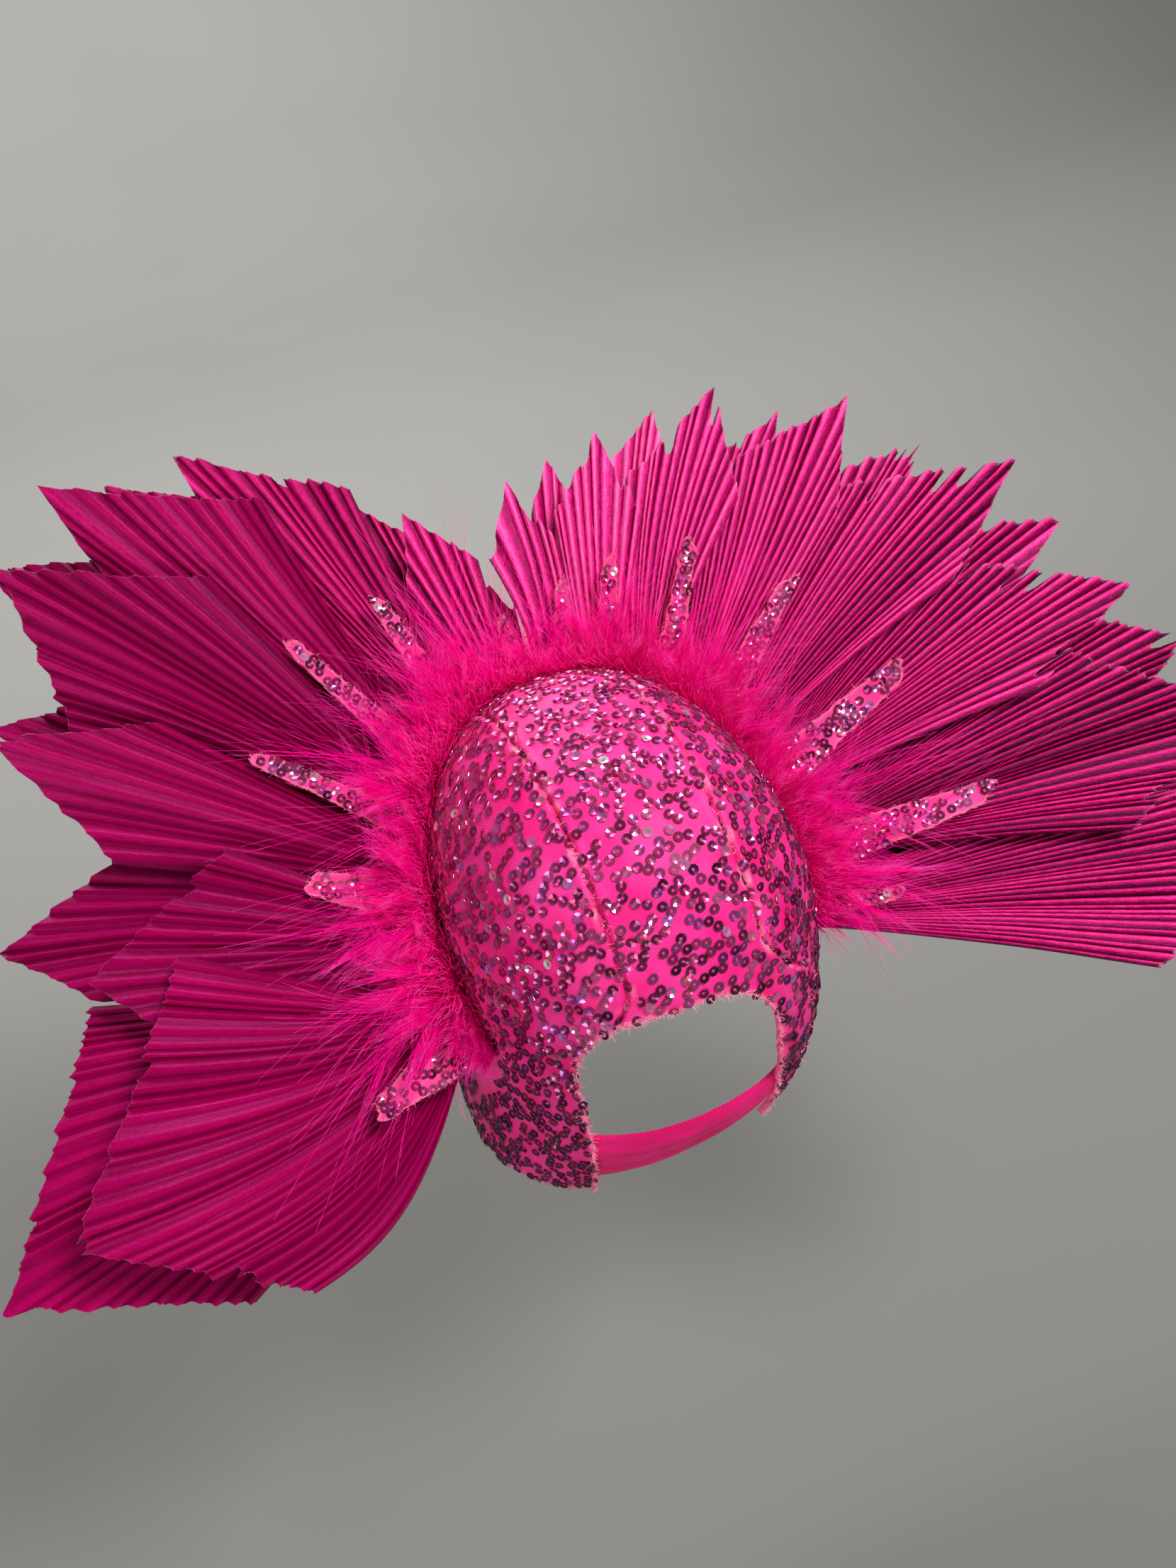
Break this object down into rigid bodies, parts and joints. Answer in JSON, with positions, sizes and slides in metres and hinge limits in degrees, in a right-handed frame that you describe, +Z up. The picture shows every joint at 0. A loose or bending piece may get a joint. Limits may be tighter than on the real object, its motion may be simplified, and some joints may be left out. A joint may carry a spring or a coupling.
{
  "type": "sequin headpiece",
  "caption": "Sequinned cloth skull cap with a nape opening and strap, edged by a fur strip, cloth tabs and a standing fan of pleated palm leaves.",
  "frame": {"origin": "middle of the wearer's head inside the cap, level with the cap's widest section", "axes": "+X towards the wearer's left, +Y towards the nape, +Z up to the crown"},
  "size_m": [0.6051, 0.2919, 0.2915],
  "materials": {
    "cap_cloth": "satin twill cloth",
    "strap_cloth": "folded cloth band",
    "fur_pile": "long soft pile",
    "palm_leaf": "dyed pleated palm leaf with a satin sheen",
    "tab_cloth": "cut sequinned cloth",
    "sequin": "glossy translucent ring"
  },
  "bodies": {
    "root": {"skull_cap": "cap_cloth", "elastic_strap": "strap_cloth", "fur_trim": "fur_pile", "leaf_rear_01": "palm_leaf", "leaf_rear_02": "palm_leaf", "leaf_rear_03": "palm_leaf", "leaf_rear_04": "palm_leaf", "leaf_rear_05": "palm_leaf", "leaf_rear_06": "palm_leaf", "leaf_rear_07": "palm_leaf", "leaf_rear_08": "palm_leaf", "leaf_rear_09": "palm_leaf", "leaf_rear_10": "palm_leaf", "leaf_rear_11": "palm_leaf", "leaf_rear_12": "palm_leaf", "leaf_rear_13": "palm_leaf", "leaf_rear_14": "palm_leaf", "leaf_rear_15": "palm_leaf", "leaf_front_01": "palm_leaf", "leaf_front_02": "palm_leaf", "leaf_front_03": "palm_leaf", "leaf_front_04": "palm_leaf", "leaf_front_05": "palm_leaf", "leaf_front_06": "palm_leaf", "leaf_front_07": "palm_leaf", "leaf_front_08": "palm_leaf", "leaf_front_09": "palm_leaf", "leaf_front_10": "palm_leaf", "leaf_front_11": "palm_leaf", "leaf_front_12": "palm_leaf", "leaf_front_13": "palm_leaf", "leaf_front_14": "palm_leaf", "tab_01": "tab_cloth", "tab_02": "tab_cloth", "tab_03": "tab_cloth", "tab_04": "tab_cloth", "tab_05": "tab_cloth", "tab_06": "tab_cloth", "tab_07": "tab_cloth", "tab_08": "tab_cloth", "tab_09": "tab_cloth", "tab_10": "tab_cloth", "tab_11": "tab_cloth", "tab_12": "tab_cloth", "tab_13": "tab_cloth"}
  },
  "joints": []
}
